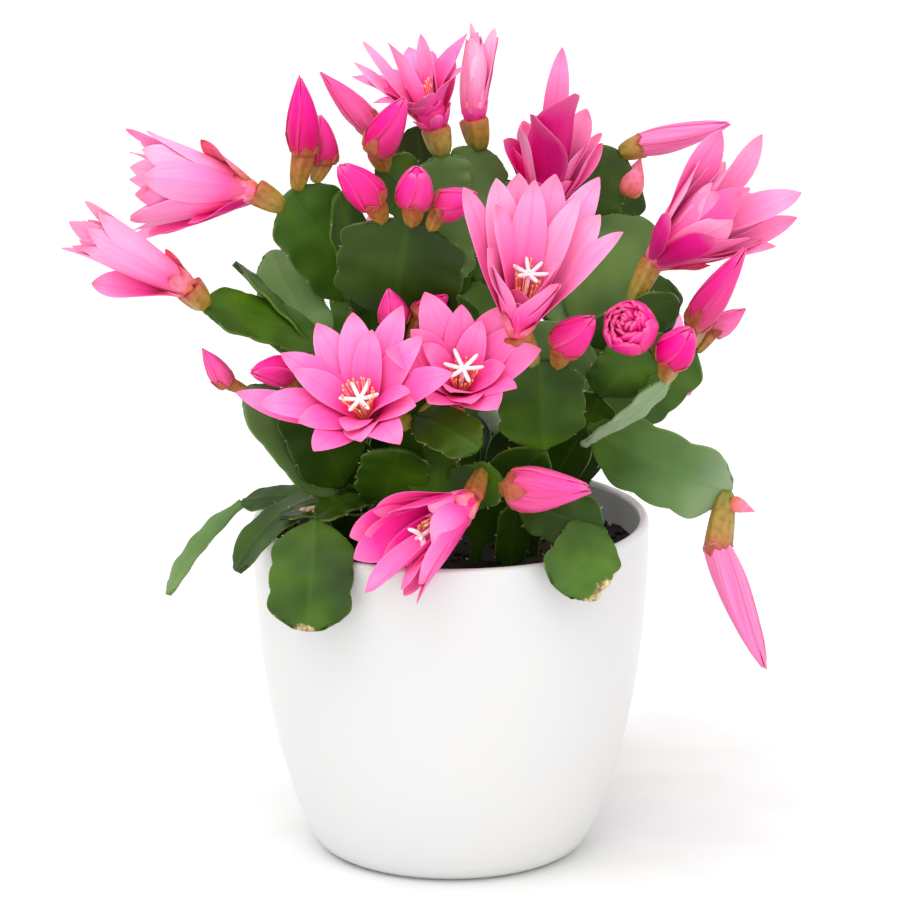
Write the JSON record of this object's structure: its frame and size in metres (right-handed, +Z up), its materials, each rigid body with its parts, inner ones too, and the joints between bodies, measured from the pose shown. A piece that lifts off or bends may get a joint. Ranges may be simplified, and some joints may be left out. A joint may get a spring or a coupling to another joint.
{
  "type": "potted easter cactus",
  "caption": "Leafy cactus of flat scalloped pads with pink star blooms, buds and white stigmas, growing from dark soil in a plain round white glazed pot.",
  "frame": {"origin": "centre of the pot's flat foot, on the surface that it stands on", "axes": "+Z up along the pot's axis; -Y towards the front of the plant; +X to its right seen from the front"},
  "size_m": [0.2635, 0.2319, 0.2896],
  "materials": {
    "glazed_pot": "satin glaze",
    "potting_soil": null,
    "green_stem": null,
    "pink_petal": null,
    "light_pink_petal": null,
    "magenta_petal": null,
    "magenta_bud": null,
    "white_stigma": null
  },
  "bodies": {
    "root": {"bloom_back_high": "pink_petal", "bloom_back_left": "pink_petal", "bloom_back_low": "pink_petal", "bloom_back_right": "pink_petal", "bloom_centre": "light_pink_petal", "bloom_far_left": "pink_petal", "bloom_left_star": "pink_petal", "bloom_low": "light_pink_petal", "bloom_rear": "magenta_petal", "bloom_right": "pink_petal", "bloom_right_star": "pink_petal", "bloom_top": "light_pink_petal", "bloom_top_narrow": "pink_petal", "bloom_upper_left": "pink_petal", "bud_back_low": "magenta_bud", "bud_back_middle": "magenta_bud", "bud_back_right": "magenta_bud", "bud_behind_star": "magenta_bud", "bud_between_stars": "magenta_bud", "bud_centre": "magenta_bud", "bud_far_left": "magenta_bud", "bud_half_open": "magenta_bud", "bud_hanging": "magenta_bud", "bud_left": "magenta_bud", "bud_long_right": "magenta_bud", "bud_right_long": "magenta_bud", "bud_right_low": "magenta_bud", "bud_right_tip": "magenta_bud", "bud_rosette": "magenta_bud", "bud_round_left": "magenta_bud", "bud_round_middle": "magenta_bud", "bud_round_right": "magenta_bud", "bud_slant": "magenta_bud", "bud_tall": "magenta_bud", "bud_tall_dark": "magenta_bud", "bud_upright": "magenta_bud", "pot": "glazed_pot", "soil": "potting_soil", "stem_back": "green_stem", "stem_back_left": "green_stem", "stem_back_right": "green_stem", "stem_centre": "green_stem", "stem_front": "green_stem", "stem_front_left": "green_stem", "stem_front_right": "green_stem", "stem_left": "green_stem", "stem_left_low": "green_stem", "stem_middle_left": "green_stem", "stem_right": "green_stem", "stem_right_rear": "green_stem", "stem_top": "green_stem", "stem_top_right": "green_stem", "stem_upper_left": "green_stem", "stigma_centre": "white_stigma", "stigma_left_star": "white_stigma", "stigma_low": "white_stigma", "stigma_right_star": "white_stigma"}
  },
  "joints": []
}
